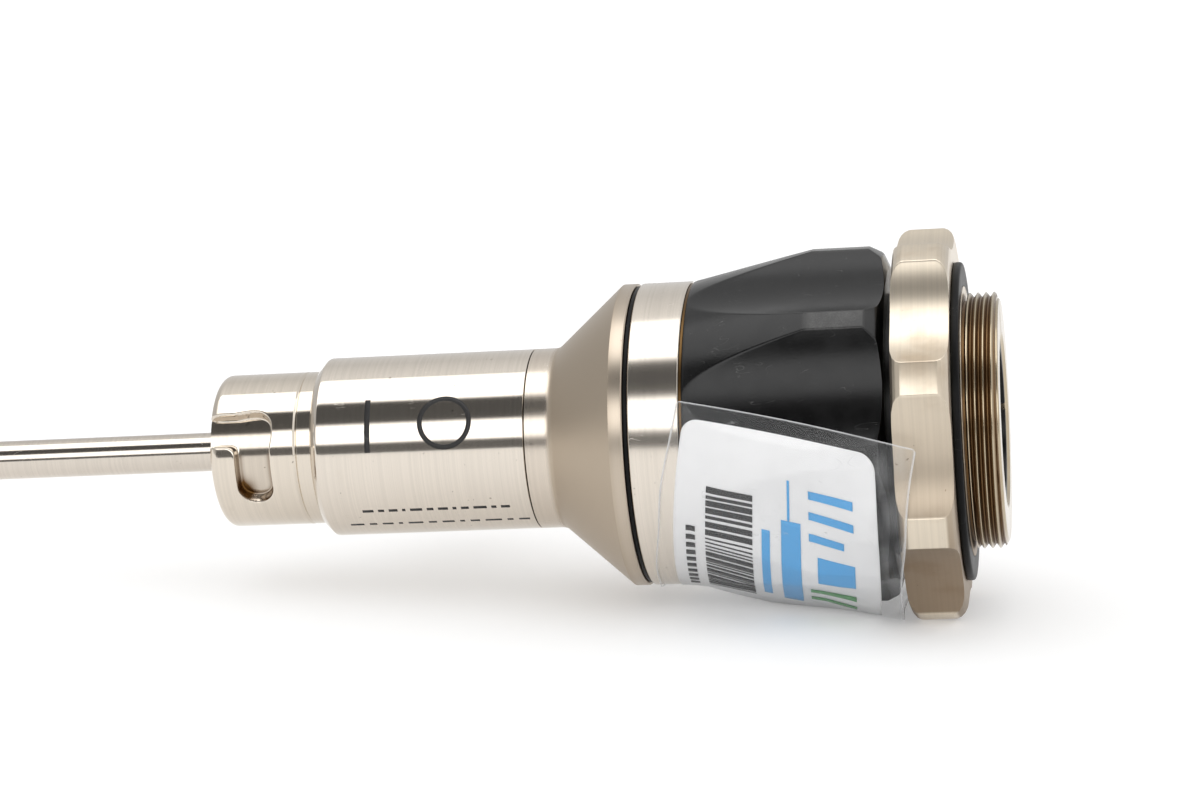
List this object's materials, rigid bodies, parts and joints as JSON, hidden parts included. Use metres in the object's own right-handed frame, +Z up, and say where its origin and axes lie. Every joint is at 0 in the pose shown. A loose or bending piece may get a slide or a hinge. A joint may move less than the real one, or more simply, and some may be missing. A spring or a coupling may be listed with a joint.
{
  "type": "rigid endoscope",
  "caption": "Direct-coupling rigid arthroscope: slim lens shaft with a bevelled tip, bayonet sheath lock, light post, flared housing on a swivel, black focus grip and camera thread.",
  "frame": {"origin": "middle of the bounding box, on the surface that the instrument lies on", "axes": "+X along the instrument from its tip to its camera thread, tilted up by the 4 degrees at which it comes to rest; +Z up; the light post points to +Y"},
  "size_m": [0.2448, 0.0462, 0.0375],
  "materials": {
    "turned_steel": "fine turned stainless steel with a warm grey tone",
    "tube_steel": "drawn stainless tube",
    "black_anodised": "satin black anodised, finely blasted",
    "black_rubber": "matt black",
    "bronze": "oily brown bronze",
    "optical_glass": "coated clear glass",
    "fibre_bundle": "polished glass fibre in resin",
    "label_paper": "white printed label",
    "clear_film": "clear adhesive film"
  },
  "bodies": {
    "coupler": {"rotation_seal": "black_rubber", "front_ring": "turned_steel", "glide_washer": "bronze", "focus_grip": "black_anodised", "grip_seals": "black_rubber", "coupler_core": "turned_steel", "lens_cell": "black_anodised", "front_lens": "optical_glass", "rear_lens": "optical_glass", "cell_retainer": "black_anodised", "cam_pin": "tube_steel", "camera_mount": "turned_steel", "mount_gasket": "black_rubber", "rear_window": "optical_glass", "window_retainer": "black_anodised"},
    "telescope": {"insertion_tube": "tube_steel", "optics_tube": "tube_steel", "light_fibres": "fibre_bundle", "distal_window": "optical_glass", "objective_prism": "optical_glass", "objective_lenses": "optical_glass", "rod_lenses": "optical_glass", "rod_spacers": "black_anodised", "sheath_lock": "turned_steel", "body_barrel": "turned_steel", "light_post": "turned_steel", "post_window": "optical_glass", "cone_housing": "turned_steel", "ocular_cell": "black_anodised", "ocular_lenses": "optical_glass", "swivel_retainer": "turned_steel"}
  },
  "joints": [
    {"name": "scope_swivel", "type": "hinge", "parent": "coupler", "child": "telescope", "pos_m": [0.08668, -0.00421, 0.01673], "axis": [-0.9975, 0, -0.0708], "continuous": true}
  ]
}
